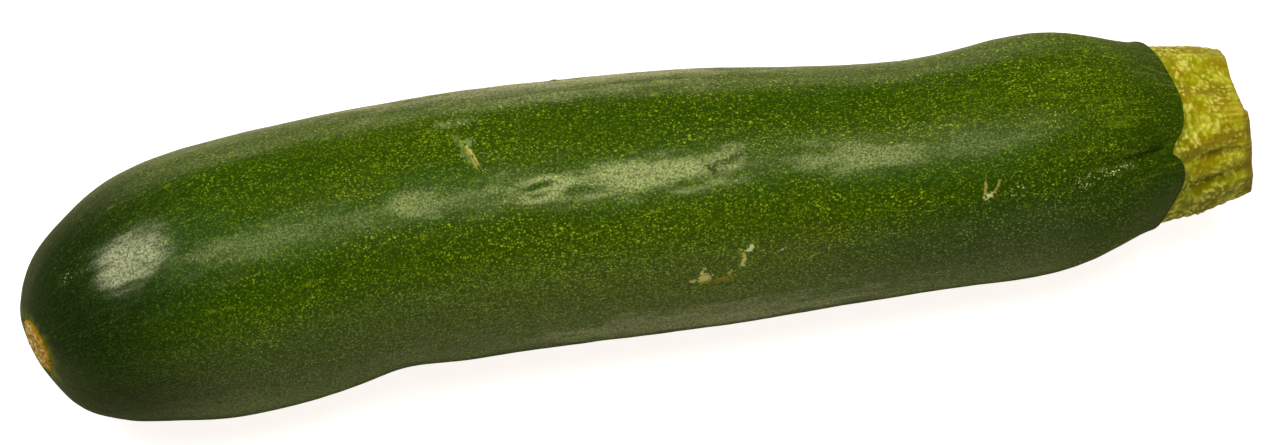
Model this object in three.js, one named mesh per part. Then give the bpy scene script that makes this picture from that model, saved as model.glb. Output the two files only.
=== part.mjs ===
// A courgette lying on its side: one dark green ribbed fruit, and the cut yellow-green stem that
// stands in a socket between the lobes of its shoulder. Millimetres, +Z up, +X from the blossom
// end to the cut of the stem. The origin is on the surface it lies on, under its middle.
import * as THREE from 'three';

// ---- The line through the middle ----

// It bows sideways by about 8 mm, and "along" is measured on it from the blossom end.
const MIDDLE_LINE = new THREE.CatmullRomCurve3([
  new THREE.Vector3(-104, -8.2, 21.3),
  new THREE.Vector3(-90.6, -4.7, 22),
  new THREE.Vector3(-64.6, -0.7, 22.4),
  new THREE.Vector3(-36.6, 1.1, 22.5),
  new THREE.Vector3(-9.6, 0.1, 22.3),
  new THREE.Vector3(17.4, -1.8, 21.6),
  new THREE.Vector3(45.4, -3.6, 20.6),
  new THREE.Vector3(73.4, -3.1, 19.9),
  new THREE.Vector3(103.7, -4.4, 20.4),
]);
const LENGTH = MIDDLE_LINE.getLength();

// ---- Fruit ----

const FRUIT_SIDES = 80;
const DOME_LENGTH = 36;        // the rounded blossom end
const DOME_RADIUS = 22.8;
const DOME_FULLNESS = 2.4;     // exponent along the axis; 2 is a plain ellipse
const DOME_BLUNTNESS = 2.3;    // exponent across the axis
const DOME_RINGS = 11;
// Radius along the straight part of the fruit: a full belly and a slight waist.
const BODY = new THREE.SplineCurve([
  new THREE.Vector2(DOME_LENGTH, DOME_RADIUS),
  new THREE.Vector2(62, 22.5),
  new THREE.Vector2(90, 22.3),
  new THREE.Vector2(116, 21.8),
  new THREE.Vector2(140, 20.2),
  new THREE.Vector2(156, 19.8),
  new THREE.Vector2(169, 20.4),
]);
const BODY_RINGS = 16;
const SHOULDER_EXPONENT = 2.6;
const SHOULDER_RINGS = 9;

// The rough round scar that the flower leaves, as [along, radius] from its middle outwards.
const SCAR = [
  [0.5, 0],
  [0.35, 1.6],
  [0.1, 3.2],
  [0.35, 4.3],
  [1, 4.9],
];

// Five blunt ribs, as angles from straight up towards the back, in degrees. They run along the
// fruit and close up unevenly near the stem, whose own ridges carry them on with a slight twist.
const BODY_RIBS = [-60, 12, 84, 156, 228];
const STEM_RIBS = [-53, 48, 116, 176, 232];
const RIBS_SHIFT_FROM = 150;
const RIB_HEIGHT = 0.016;      // share of the radius, on the fruit
const STEM_RIB_HEIGHT = 0.05;  // share of the radius, on the stem
const STEM_TWIST = 1;          // degrees each mm past the rim

// Soft swellings and hollows that keep the fruit from being even all round.
const FRUIT_SWELLINGS = [
  { along: 2, angle: -130, length: 4, spread: 60, height: 1.1 },
  { along: 7, angle: 50, length: 10, spread: 60, height: -1.4 },
  { along: 17, angle: -125, length: 8, spread: 45, height: -1 },
  { along: 43, angle: -125, length: 9, spread: 40, height: 0.6 },
  { along: 61, angle: -130, length: 7, spread: 22, height: -0.8 },
];
const SCAR_SWAY = 2.5;         // the swellings fade out over this length towards the scar

// The rim of the shoulder: broad lobes with a narrow cleft at each rib.
const RIM = 193.9;             // along, at the clefts
const LOBE_LENGTH = 3.4;
const LOBE_BREADTH = 0.6;      // below 1 the lobes are broad and the clefts narrow
const RIM_SLANT = 0.6;         // the rim leans to the front by this much
const RIM_SLANT_ANGLE = -50;
// The lobes are not alike: these are set back, and one cleft is wider.
const RIM_SWELLINGS = [
  { along: RIM, angle: -112, length: 5, spread: 38, height: -4.1 },
  { along: RIM, angle: 20, length: 5, spread: 40, height: -1.6 },
  { along: RIM, angle: -48, length: 5, spread: 7, height: -1.1 },
];
const RIM_LIP = 0.4;
const FURROW_DEPTH = 1.4;      // each cleft starts as a furrow in the shoulder

// ---- Stem ----

const STEM_SIDES = 70;
const STEM_GAP = 0.3;          // clear space round the root of the stem, in its socket
const SOCKET_FLOOR = 189.2;
const STEM_ROOT = SOCKET_FLOOR + STEM_GAP;
const STEM_BASE_RADIUS = 14.6;
const STEM_CUT_RADIUS = 11.8;
const STEM_TAPER_EXPONENT = 1.5;
const STEM_RINGS = 17;
const SECOND_RIDGE_HEIGHT = 0.02;
const CUT_HOLLOW = 0.8;        // the pith dries in a little at the cut
const CUT_SLANT = 0.6;         // the cut is not quite square
const CUT_SLANT_ANGLE = 40;
const STEM_SWELLINGS = [
  { along: 205, angle: 50, length: 12, spread: 30, height: 0.7 },
  { along: 204, angle: -5, length: 5, spread: 17, height: -1 },
];

// ---- Resting ----

const FLOOR = 0;               // the underside is worn flat here, in two small spots

const DEGREE = Math.PI / 180;
const UP = new THREE.Vector3(0, 0, 1);

// The point at a distance along the middle line, a radius from it, at an angle from straight up
// towards the back.
function pointAt(along, radius, angle) {
  const share = THREE.MathUtils.clamp(along / LENGTH, 0, 1);
  const ahead = MIDDLE_LINE.getTangentAt(share);
  const sideways = new THREE.Vector3().crossVectors(UP, ahead).normalize();
  const upward = new THREE.Vector3().crossVectors(ahead, sideways);
  const point = MIDDLE_LINE.getPointAt(share);
  point.addScaledVector(upward, radius * Math.cos(angle));
  point.addScaledVector(sideways, radius * Math.sin(angle));
  point.z = Math.max(point.z, FLOOR);
  return point;
}

// Where each rib lies at a distance along the middle line, in degrees.
function ribAngles(along) {
  const shift = THREE.MathUtils.smoothstep(along, RIBS_SHIFT_FROM, RIM);
  const twist = STEM_TWIST * Math.max(along - RIM, 0);
  return BODY_RIBS.map((body, k) => THREE.MathUtils.lerp(body, STEM_RIBS[k], shift) + twist);
}

// The place of an angle between its two neighbouring ribs: 0 and 1 on a rib, 0.5 midway.
function placeBetweenRibs(along, angle) {
  const ribs = ribAngles(along);
  const degrees = ribs[0] + THREE.MathUtils.euclideanModulo(angle / DEGREE - ribs[0], 360);
  const ends = [...ribs, ribs[0] + 360];
  const next = Math.max(ends.findIndex((rib) => rib > degrees), 1);
  return (degrees - ends[next - 1]) / (ends[next] - ends[next - 1]);
}

// 1 on a rib and -1 midway between two.
function ribWave(along, angle) {
  return Math.cos(2 * Math.PI * placeBetweenRibs(along, angle));
}

// What a list of swellings adds to the radius at one place.
function swellingAt(swellings, along, angle) {
  let height = 0;
  for (const swelling of swellings) {
    const ahead = (along - swelling.along) / swelling.length;
    const turn = angle / DEGREE - swelling.angle + 180;
    const aside = (THREE.MathUtils.euclideanModulo(turn, 360) - 180) / swelling.spread;
    height += swelling.height * Math.exp(-(ahead ** 2) - aside ** 2);
  }
  return height;
}

// ---- Shapes of the stem ----

function stemRadius(along, angle) {
  const share = THREE.MathUtils.clamp((along - STEM_ROOT) / (LENGTH - STEM_ROOT), 0, 1);
  const taper = share ** STEM_TAPER_EXPONENT;
  const mean = THREE.MathUtils.lerp(STEM_BASE_RADIUS, STEM_CUT_RADIUS, taper);
  const place = placeBetweenRibs(along, angle);
  const ridges = STEM_RIB_HEIGHT * Math.cos(2 * Math.PI * place);
  const between = SECOND_RIDGE_HEIGHT * taper * Math.cos(6 * Math.PI * place);
  return mean * (1 + ridges + between) + swellingAt(STEM_SWELLINGS, along, angle);
}

function cutAlong(angle) {
  return LENGTH - CUT_SLANT * (1 + Math.cos(angle - CUT_SLANT_ANGLE * DEGREE));
}

function makeStem() {
  const rings = [[pointAt(STEM_ROOT, 0, 0)]];
  rings.push(ringOf(STEM_SIDES, () => STEM_ROOT, () => 0.5 * STEM_BASE_RADIUS));
  rings.push(ringOf(STEM_SIDES, () => STEM_ROOT, (along, angle) => stemRadius(along, angle) - 0.4));
  for (let k = 0; k < STEM_RINGS; k += 1) {
    const share = k / (STEM_RINGS - 1);
    const start = STEM_ROOT + 0.4;
    rings.push(ringOf(STEM_SIDES, (angle) => start + (cutAlong(angle) - start) * share, stemRadius));
  }
  for (const [share, hollow] of [[0.93, 0.1], [0.7, 0.4], [0.35, 0.9]]) {
    rings.push(ringOf(
      STEM_SIDES,
      (angle) => cutAlong(angle) - hollow * CUT_HOLLOW,
      (along, angle) => share * stemRadius(LENGTH, angle),
    ));
  }
  rings.push([pointAt(LENGTH - 2 * CUT_HOLLOW, 0, 0)]);
  return skinThrough(rings);
}

// ---- Shapes of the fruit ----

// 1 along the middle of a lobe of the rim and 0 in the clefts on either side.
function lobeAt(angle) {
  return Math.sin(Math.PI * placeBetweenRibs(RIM, angle)) ** LOBE_BREADTH;
}

function rimAlong(angle) {
  const slant = RIM_SLANT * Math.cos(angle - RIM_SLANT_ANGLE * DEGREE);
  return RIM + LOBE_LENGTH * lobeAt(angle) + slant + swellingAt(RIM_SWELLINGS, RIM, angle);
}

function ribbed(radius) {
  return (along, angle) => {
    const swelling = swellingAt(FRUIT_SWELLINGS, along, angle);
    const sway = THREE.MathUtils.smoothstep(along, 0, SCAR_SWAY);
    return radius * (1 + RIB_HEIGHT * ribWave(along, angle)) + sway * swelling;
  };
}

function makeFruit() {
  const [scarMiddle, ...scarRings] = SCAR;
  const rings = [[pointAt(scarMiddle[0], 0, 0)]];
  for (const [along, radius] of scarRings) {
    rings.push(ringOf(FRUIT_SIDES, () => along, () => radius));
  }
  const scarEdge = 1.2 * scarRings.at(-1)[1];
  const start = Math.asin((scarEdge / DOME_RADIUS) ** (DOME_BLUNTNESS / 2));
  for (let k = 0; k < DOME_RINGS; k += 1) {
    const turn = THREE.MathUtils.lerp(start, Math.PI / 2, k / DOME_RINGS);
    const along = DOME_LENGTH * (1 - Math.cos(turn) ** (2 / DOME_FULLNESS));
    const radius = DOME_RADIUS * Math.sin(turn) ** (2 / DOME_BLUNTNESS);
    rings.push(ringOf(FRUIT_SIDES, () => along, ribbed(radius)));
  }
  for (const { x: along, y: radius } of BODY.getSpacedPoints(BODY_RINGS)) {
    rings.push(ringOf(FRUIT_SIDES, () => along, ribbed(radius)));
  }

  // The shoulder falls from the body to the lip of each lobe, and the socket drops inside it.
  const shoulder = BODY.points.at(-1);
  const lipRadius = (angle) => stemRadius(rimAlong(angle), angle) + STEM_GAP + RIM_LIP;
  for (let k = 1; k <= SHOULDER_RINGS; k += 1) {
    const share = k / SHOULDER_RINGS;
    const drop = share ** SHOULDER_EXPONENT;
    rings.push(ringOf(
      FRUIT_SIDES,
      (angle) => THREE.MathUtils.lerp(shoulder.x, rimAlong(angle) - RIM_LIP, share),
      (along, angle) => {
        const bodyRadius = ribbed(shoulder.y)(along, angle);
        const furrow = FURROW_DEPTH * (1 - lobeAt(angle)) * Math.sin(Math.PI * share ** 3);
        return THREE.MathUtils.lerp(bodyRadius, lipRadius(angle) + 0.5 * RIM_LIP, drop) - furrow;
      },
    ));
  }
  const socketRadius = (along, angle) => stemRadius(along, angle) + STEM_GAP;
  rings.push(ringOf(FRUIT_SIDES, rimAlong, (along, angle) => lipRadius(angle)));
  rings.push(ringOf(FRUIT_SIDES, (angle) => rimAlong(angle) - RIM_LIP, socketRadius));
  for (const share of [0.5, 0]) {
    rings.push(ringOf(
      FRUIT_SIDES,
      (angle) => THREE.MathUtils.lerp(SOCKET_FLOOR, rimAlong(angle) - RIM_LIP, share),
      socketRadius,
    ));
  }
  rings.push(ringOf(FRUIT_SIDES, () => SOCKET_FLOOR, () => 0.5 * STEM_BASE_RADIUS));
  rings.push([pointAt(SOCKET_FLOOR, 0, 0)]);
  return skinThrough(rings);
}

// ---- Meshes ----

// One ring of points round the middle line. Both the place along it and the radius may change
// with the angle.
function ringOf(sides, alongAt, radiusAt) {
  return Array.from({ length: sides }, (_, k) => {
    const angle = (2 * Math.PI * k) / sides;
    const along = alongAt(angle);
    return pointAt(along, radiusAt(along, angle), angle);
  });
}

// A closed skin through rings of points, whose first and last rings are single points.
function skinThrough(rings) {
  const sides = rings[1].length;
  const starts = [];
  const points = [];
  for (const ring of rings) {
    starts.push(points.length);
    points.push(...ring);
  }
  const triangles = [];
  for (let k = 0; k < sides; k += 1) {
    const next = (k + 1) % sides;
    const last = rings.length - 1;
    triangles.push(starts[0], starts[1] + k, starts[1] + next);
    triangles.push(starts[last - 1] + k, starts[last], starts[last - 1] + next);
    for (let ring = 1; ring < last - 1; ring += 1) {
      const here = starts[ring];
      const ahead = starts[ring + 1];
      triangles.push(here + k, ahead + k, ahead + next);
      triangles.push(here + k, ahead + next, here + next);
    }
  }
  const geometry = new THREE.BufferGeometry().setFromPoints(points);
  geometry.setIndex(triangles);
  geometry.computeVertexNormals();
  return geometry;
}

// ---- The courgette ----

const fruit = new THREE.Mesh(
  makeFruit(),
  new THREE.MeshStandardMaterial({ color: 0x35520f, roughness: 0.35, metalness: 0 }),
);
fruit.name = 'fruit';

const stem = new THREE.Mesh(
  makeStem(),
  new THREE.MeshStandardMaterial({ color: 0x9a9a1c, roughness: 0.65, metalness: 0 }),
);
stem.name = 'stem';

const courgette = new THREE.Group();
courgette.add(fruit, stem);

export default courgette;
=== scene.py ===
import math

import bpy
import numpy as np
from mathutils import Matrix, Vector, noise


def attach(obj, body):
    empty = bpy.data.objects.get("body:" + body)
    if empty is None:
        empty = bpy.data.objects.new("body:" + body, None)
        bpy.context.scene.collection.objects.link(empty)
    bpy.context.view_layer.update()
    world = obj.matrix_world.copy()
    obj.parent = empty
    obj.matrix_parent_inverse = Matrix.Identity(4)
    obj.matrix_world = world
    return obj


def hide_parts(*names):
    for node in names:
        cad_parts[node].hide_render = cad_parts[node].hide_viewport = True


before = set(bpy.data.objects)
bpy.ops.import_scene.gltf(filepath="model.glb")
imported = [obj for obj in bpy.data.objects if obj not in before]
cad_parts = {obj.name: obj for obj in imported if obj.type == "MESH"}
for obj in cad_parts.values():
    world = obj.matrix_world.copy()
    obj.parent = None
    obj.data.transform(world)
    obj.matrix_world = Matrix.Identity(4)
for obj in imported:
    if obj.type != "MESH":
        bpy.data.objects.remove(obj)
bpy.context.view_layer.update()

# A courgette lying on its side. Distances are in millimetres until a piece is finished: "along" is
# measured on the middle line from the blossom end, and angles go from straight up towards the back.
MM = 0.001

# ---- The middle line ----

MIDDLE_LINE = [
    (-104, -8.2, 21.3),
    (-90.6, -4.7, 22),
    (-64.6, -0.7, 22.4),
    (-36.6, 1.1, 22.5),
    (-9.6, 0.1, 22.3),
    (17.4, -1.8, 21.6),
    (45.4, -3.6, 20.6),
    (73.4, -3.1, 19.9),
    (103.7, -4.4, 20.4),
]
LENGTH = 208.7

# ---- Fruit ----

FRUIT_SIDES = 64
DOME_LENGTH = 36
DOME_RADIUS = 22.8
DOME_FULLNESS = 2.4
DOME_BLUNTNESS = 2.3
SCAR_PROFILE = [(0.5, 0), (0.35, 1.6), (0.1, 3.2), (0.35, 4.3), (1, 4.9)]
SCAR_RADIUS = 4.9
# The scar leans a little, sunk towards this angle.
SCAR_TILT = 0.42
SCAR_TILT_ANGLE = -66
SCAR_TILT_END = 9
SCAR_ROUGHNESS = 0.25
BODY_PROFILE = [
    (36, 22.8),
    (62, 22.5),
    (90, 22.3),
    (116, 21.8),
    (140, 20.2),
    (156, 19.8),
    (169, 20.4),
]
BODY_RIBS = [-60, 12, 84, 156, 228]
STEM_RIBS = [-53, 48, 116, 176, 232]
RIBS_SHIFT_FROM = 150
RIB_HEIGHT = 0.016
STEM_RIB_HEIGHT = 0.05
STEM_TWIST = 1
SHOULDER_EXPONENT = 2.6
RIM = 193.9
LOBE_LENGTH = 3.4
LOBE_BREADTH = 0.6
RIM_SLANT = 0.6
RIM_SLANT_ANGLE = -50
# The lobes are not alike: these are set back, and one cleft is wider.
RIM_SWELLINGS = [
    (RIM, -112, 5, 38, -4.1),
    (RIM, 20, 5, 40, -1.6),
    (RIM, -48, 5, 7, -1.1),
]
RIM_LIP = 0.4
FURROW_DEPTH = 1.4
# The skin's pattern is laid on a straight round body of this radius.
GRAIN_RADIUS = 22
# The tube's rings are sized as the fruit is on this side.
RING_ANGLE = -24
# Unevenness of the skin: height, and the size and lengthwise stretch of its humps.
SKIN_WAVES = (0.16, 8, 2.2)
SKIN_RIPPLES = (0.03, 2.6, 1.6)

# Soft swellings and hollows: along, angle, length, spread, height.
FRUIT_SWELLINGS = [
    (2, -130, 4, 60, 1.1),
    (7, 50, 10, 60, -1.4),
    (17, -125, 8, 45, -1),
    (43, -125, 9, 40, 0.6),
    (61, -130, 7, 22, -0.8),
]
# Small dents and welts, with lengths and widths in millimetres: along, angle, length, width,
# turn from lengthwise, height.
DENTS = [
    (86.3, -30, 3.2, 0.9, 12, -0.3),
    (92, -35, 5, 1.6, -8, -0.3),
    (117.3, -24.8, 3.4, 0.6, 18, -0.16),
    (114.5, -29, 1.3, 0.6, -60, -0.14),
    (75.4, -6, 4.2, 1, 74, -0.25),
    (56, -112, 2, 0.7, 20, -0.25),
    (92.6, 47, 0.7, 0.5, 0, 0.25),
    (33, 30, 0.6, 0.5, 0, 0.2),
    (193, -49.7, 5, 0.7, 3, -0.7),
]

# ---- Stem ----

STEM_SIDES = 90
STEM_GAP = 0.3
SOCKET_FLOOR = 189.2
STEM_ROOT = SOCKET_FLOOR + STEM_GAP
STEM_ROOT_EDGE = 0.4
STEM_BASE_RADIUS = 14.6
STEM_CUT_RADIUS = 11.8
STEM_TAPER_EXPONENT = 1.5
SECOND_RIDGE_HEIGHT = 0.02
CUT_HOLLOW = 0.8
CUT_SLANT = 0.6
CUT_SLANT_ANGLE = 40
CUT_STEP = 0.5
CUT_STEP_FROM = (-33, -29)
CUT_STEP_TO = (-5, 50)
CUT_ROUGHNESS = 0.12
WARTS_ROUND = 70
WART_ROWS = 32
WART_PITCH = 1.05
WART_HEIGHT = 0.28
FIBRE_HEIGHT = 0.1
LUMP_HEIGHT = 0.22
# The rind is sunk by this, so that its warts stand at the stem's own surface.
RIND_SINK = 0.36
STEM_SWELLINGS = [(205, 50, 12, 30, 0.7), (204, -5, 5, 17, -1)]
# Ridges, furrows and warts on the stem, written as the dents of the fruit are.
STEM_WELTS = [
    (203, -41, 7, 1.9, 20, 0.5),
    (203, -62, 8, 0.9, -3, -0.8),
    (202, -75, 8, 1.2, 3, 0.5),
    (203, -86, 8, 0.9, 3, -0.6),
    (203, -98, 6, 1.7, 0, 0.3),
    (205, -8, 3, 2.2, -20, -0.4),
    (202.1, -24, 0.9, 0.9, 0, 0.4),
    (203, 22, 8, 1.4, 0, 0.35),
    (203, 62, 8, 0.9, 0, -0.6),
    (203, 92, 8, 1, 0, -0.6),
    (203, 130, 8, 1.3, 0, 0.4),
    (203, 146, 8, 0.9, 0, -0.7),
    (203, 200, 8, 1, 0, -0.6),
    (203, 238, 8, 1.2, 0, 0.4),
]


# ---- The form, on arrays of places ----


def blend(a, b, share):
    return a + (b - a) * share


def ease(value, low, high):
    """0 below low, 1 above high, and smooth between."""
    share = np.clip((value - low) / (high - low), 0, 1)
    return share * share * (3 - 2 * share)


def curve_through(points, at):
    """Heights of a smooth curve through a few points."""
    x, y = np.array(points, float).T
    slope = np.gradient(y, x)
    k = np.clip(np.searchsorted(x, at, side="right") - 1, 0, len(x) - 2)
    width = x[k + 1] - x[k]
    t = np.clip((at - x[k]) / width, 0, 1)
    return (
        (2 * t**3 - 3 * t**2 + 1) * y[k]
        + (t**3 - 2 * t**2 + t) * width * slope[k]
        + (3 * t**2 - 2 * t**3) * y[k + 1]
        + (t**3 - t**2) * width * slope[k + 1]
    )


def place_between_ribs(along, angle):
    """0 and 1 on a rib, and 0.5 midway between two."""
    shift = ease(along, RIBS_SHIFT_FROM, RIM)
    twist = STEM_TWIST * np.maximum(along - RIM, 0)
    ribs = [blend(body, stem, shift) + twist for body, stem in zip(BODY_RIBS, STEM_RIBS)]
    degrees = ribs[0] + np.mod(np.degrees(angle) - ribs[0], 360)
    place = np.zeros_like(degrees)
    for near, far in zip(ribs, ribs[1:] + [ribs[0] + 360]):
        inside = (degrees >= near) & (degrees < far)
        place = np.where(inside, (degrees - near) / (far - near), place)
    return place


def swelling_at(swellings, along, angle):
    height = np.zeros_like(along)
    for at, towards, length, spread, rise in swellings:
        aside = np.mod(np.degrees(angle) - towards + 180, 360) - 180
        height += rise * np.exp(-(((along - at) / length) ** 2) - (aside / spread) ** 2)
    return height


def lobe_at(angle):
    return np.sin(np.pi * place_between_ribs(np.full_like(angle, RIM), angle)) ** LOBE_BREADTH


def rim_along(angle):
    slant = RIM_SLANT * np.cos(angle - math.radians(RIM_SLANT_ANGLE))
    at_rim = np.full_like(angle, RIM)
    return RIM + LOBE_LENGTH * lobe_at(angle) + slant + swelling_at(RIM_SWELLINGS, at_rim, angle)


def stem_radius(along, angle):
    share = np.clip((along - STEM_ROOT) / (LENGTH - STEM_ROOT), 0, 1)
    taper = share**STEM_TAPER_EXPONENT
    place = place_between_ribs(along, angle)
    ridges = STEM_RIB_HEIGHT * np.cos(2 * np.pi * place)
    between = SECOND_RIDGE_HEIGHT * taper * np.cos(6 * np.pi * place)
    mean = blend(STEM_BASE_RADIUS, STEM_CUT_RADIUS, taper)
    return mean * (1 + ridges + between) + swelling_at(STEM_SWELLINGS, along, angle)


def cut_along(angle):
    degrees = np.degrees(angle)
    step = CUT_STEP * ease(degrees, *CUT_STEP_FROM) * (1 - ease(degrees, *CUT_STEP_TO))
    return LENGTH - CUT_SLANT * (1 + np.cos(angle - math.radians(CUT_SLANT_ANGLE))) - step


def ribbed(radius, along, angle):
    ribs = RIB_HEIGHT * np.cos(2 * np.pi * place_between_ribs(along, angle))
    return radius * (1 + ribs) + ease(along, 0, 2.5) * swelling_at(FRUIT_SWELLINGS, along, angle)


def raised_at(marks, along, angle, radius):
    """Height of small dents and welts, whose lengths and widths are in millimetres."""
    height = np.zeros_like(along)
    for at, towards, length, width, turn, rise in marks:
        ahead = along - at
        aside = np.mod(angle - math.radians(towards) + np.pi, 2 * np.pi) - np.pi
        aside = aside * radius
        cos, sin = math.cos(math.radians(turn)), math.sin(math.radians(turn))
        far_ahead = (ahead * cos + aside * sin) / length
        far_aside = (aside * cos - ahead * sin) / width
        height += rise * np.exp(-(far_ahead**2 + far_aside**2))
    return height


def fruit_meridian():
    """Along and radius from the middle of the scar to the shoulder, and the length of the way."""
    scar_edge = 1.2 * SCAR_RADIUS
    start = math.asin((scar_edge / DOME_RADIUS) ** (DOME_BLUNTNESS / 2))
    turn = np.linspace(start, math.pi / 2, 80)
    dome = DOME_LENGTH * (1 - np.cos(turn) ** (2 / DOME_FULLNESS))
    dome_radius = DOME_RADIUS * np.sin(turn) ** (2 / DOME_BLUNTNESS)
    body = np.linspace(BODY_PROFILE[0][0], BODY_PROFILE[-1][0], 120)[1:]
    body_radius = curve_through(BODY_PROFILE, body)
    scar, scar_radius = np.array(SCAR_PROFILE).T
    along = np.concatenate([scar, dome, body])
    radius = np.concatenate([scar_radius, dome_radius, body_radius])
    steps = np.hypot(np.diff(along), np.diff(radius))
    way = np.concatenate([[0], np.cumsum(steps)])
    return along, radius, way


MERIDIAN_ALONG, MERIDIAN_RADIUS, MERIDIAN_WAY = fruit_meridian()
SHOULDER_WAY = MERIDIAN_WAY[-1]
RIM_WAY = SHOULDER_WAY + 29
LIP_WAY = RIM_WAY + 1
WALL_WAY = LIP_WAY + 1
FLOOR_WAY = WALL_WAY + 6
CENTRE_WAY = FLOOR_WAY + 15


def fruit_form(way, angle):
    """Along and radius of the fruit's skin, at a distance on its way from scar to socket."""
    along = np.interp(way, MERIDIAN_WAY, MERIDIAN_ALONG)
    radius = ribbed(np.interp(way, MERIDIAN_WAY, MERIDIAN_RADIUS), along, angle)

    share = np.clip((way - SHOULDER_WAY) / (RIM_WAY - SHOULDER_WAY), 0, 1)
    rim = rim_along(angle)
    shoulder_along = blend(BODY_PROFILE[-1][0], rim - RIM_LIP, share)
    lip = stem_radius(rim, angle) + STEM_GAP + RIM_LIP
    drop = share**SHOULDER_EXPONENT
    furrow = FURROW_DEPTH * (1 - lobe_at(angle)) * np.sin(np.pi * share**3)
    full = ribbed(BODY_PROFILE[-1][1], shoulder_along, angle)
    shoulder_radius = blend(full, lip + 0.5 * RIM_LIP, drop) - furrow

    # Over the lip, down the wall of the socket and in to its middle.
    over = np.clip((way - RIM_WAY) / (LIP_WAY - RIM_WAY), 0, 1)
    into = np.clip((way - LIP_WAY) / (WALL_WAY - LIP_WAY), 0, 1)
    down = np.clip((way - WALL_WAY) / (FLOOR_WAY - WALL_WAY), 0, 1)
    inward = np.clip((way - FLOOR_WAY) / (CENTRE_WAY - FLOOR_WAY), 0, 1)
    lip_along = rim - RIM_LIP * (1 - np.sin(over * np.pi / 2)) - RIM_LIP * into**2
    socket_along = blend(lip_along, SOCKET_FLOOR, down)
    wall = stem_radius(socket_along, angle) + STEM_GAP
    lip_radius = lip + 0.5 * RIM_LIP * np.cos(over * np.pi / 2) - RIM_LIP * np.sin(into * np.pi / 2)
    socket_radius = np.where(way > WALL_WAY, wall, lip_radius) * (1 - inward)

    past = way > SHOULDER_WAY
    along = np.where(past, shoulder_along, along)
    radius = np.where(past, shoulder_radius, radius)
    past = way > RIM_WAY
    return np.where(past, socket_along, along), np.where(past, socket_radius, radius)


def stem_form(way, angle):
    """Along and radius of the stem's skin; way runs 0-1 up the stem and 1-2 into its cut."""
    root_share = np.clip(way + 1, 0, 1)
    share = np.clip(way, 0, 1)
    start = STEM_ROOT + STEM_ROOT_EDGE * (way > 0)
    along = start + (cut_along(angle) - start) * share
    radius = stem_radius(along, angle) * root_share
    inward = np.clip(way - 1, 0, 1)
    hollow = CUT_HOLLOW * (1.2 * ease(inward, 0, 0.7) + 0.3 * inward)
    edge = stem_radius(np.full_like(angle, LENGTH), angle)
    return along - hollow * (way > 1), np.where(way > 1, edge * (1 - inward), radius)


# ---- Making pieces ----

# Two places closer than this are one.
NEAR = 0.001
SMOOTHING_LEVELS = 2
LINE_STEPS = 64
# How much weaker and finer each octave of unevenness is than the last, and their number.
ROUGHNESS = (0.9, 2.1, 3)


def clear_selection():
    bpy.ops.object.select_all(action="DESELECT")


def read_points(piece):
    places = np.empty(len(piece.data.vertices) * 3)
    piece.data.vertices.foreach_get("co", places)
    return places.reshape(-1, 3)


def move_points(piece, places):
    piece.data.vertices.foreach_set("co", np.ascontiguousarray(places).ravel())
    piece.data.update()


def extrude_ahead(distance):
    """Extrudes the chosen ring along the X axis."""
    bpy.ops.mesh.extrude_edges_move(TRANSFORM_OT_translate={"value": (distance * MM, 0, 0)})


def straight_tube(name, sides, rings):
    """A closed round body on the X axis, extruded ring by ring. The first and last are points.

    Rings are (x, radius, way), and the way is kept on the points for shaping them later.
    """
    clear_selection()
    (first_x, *_), *middle, (last_x, *_) = rings
    x, radius, _ = middle[0]
    bpy.ops.mesh.primitive_circle_add(
        vertices=sides,
        radius=radius * MM,
        location=(x * MM, 0, 0),
        rotation=(0, math.pi / 2, 0),
    )
    tube = bpy.context.object
    tube.name = tube.data.name = name
    bpy.ops.object.transform_apply(location=True, rotation=True, scale=True)
    bpy.ops.object.mode_set(mode="EDIT")
    bpy.ops.mesh.select_mode(type="VERT")
    for next_x, next_radius, _ in middle[1:]:
        extrude_ahead(next_x - x)
        size = next_radius / radius
        bpy.ops.transform.resize(value=(1, size, size), center_override=(next_x * MM, 0, 0))
        x, radius = next_x, next_radius
    extrude_ahead(last_x - x)
    bpy.ops.mesh.merge(type="CENTER")
    bpy.ops.mesh.select_all(action="DESELECT")
    bpy.ops.object.mode_set(mode="OBJECT")

    # The open first ring is closed to a point in the same way.
    open_x, open_radius, _ = middle[0]
    places = read_points(tube) / MM
    radii = np.hypot(places[:, 1], places[:, 2])
    on_open_ring = np.isclose(places[:, 0], open_x, atol=NEAR)
    on_open_ring &= np.isclose(radii, open_radius, atol=NEAR)
    for vertex, chosen in zip(tube.data.vertices, on_open_ring):
        vertex.select = bool(chosen)
    bpy.ops.object.mode_set(mode="EDIT")
    extrude_ahead(first_x - open_x)
    bpy.ops.mesh.merge(type="CENTER")
    bpy.ops.mesh.select_all(action="SELECT")
    bpy.ops.mesh.normals_make_consistent(inside=False)
    bpy.ops.object.mode_set(mode="OBJECT")

    # Each point's way, from the ring that it is on.
    places = read_points(tube) / MM
    radii = np.hypot(places[:, 1], places[:, 2])
    ring_x, ring_radius, ring_way = np.array(rings).T
    gaps = np.hypot(places[:, :1] - ring_x, radii[:, None] - ring_radius)
    ways = tube.data.attributes.new("way", "FLOAT", "POINT")
    ways.data.foreach_set("value", ring_way[gaps.argmin(axis=1)])
    return tube


def refine(piece):
    finer = piece.modifiers.new("finer", "SUBSURF")
    finer.levels = finer.render_levels = SMOOTHING_LEVELS
    bpy.ops.object.modifier_apply(modifier=finer.name)


def read_ways(piece):
    ways = np.empty(len(piece.data.vertices))
    piece.data.attributes["way"].data.foreach_get("value", ways)
    return ways


def read_angles(piece):
    """Each point's angle round the X axis, from straight up towards the back."""
    places = read_points(piece)
    return np.arctan2(places[:, 1], places[:, 2])


def around_middle(along, radius, angle):
    return np.column_stack([along, radius * np.sin(angle), radius * np.cos(angle)])


def unrolled(along, radius, angle):
    """The place on a straight round body: along, up and towards the back."""
    return np.column_stack([along, radius * np.cos(angle), radius * np.sin(angle)])


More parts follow.
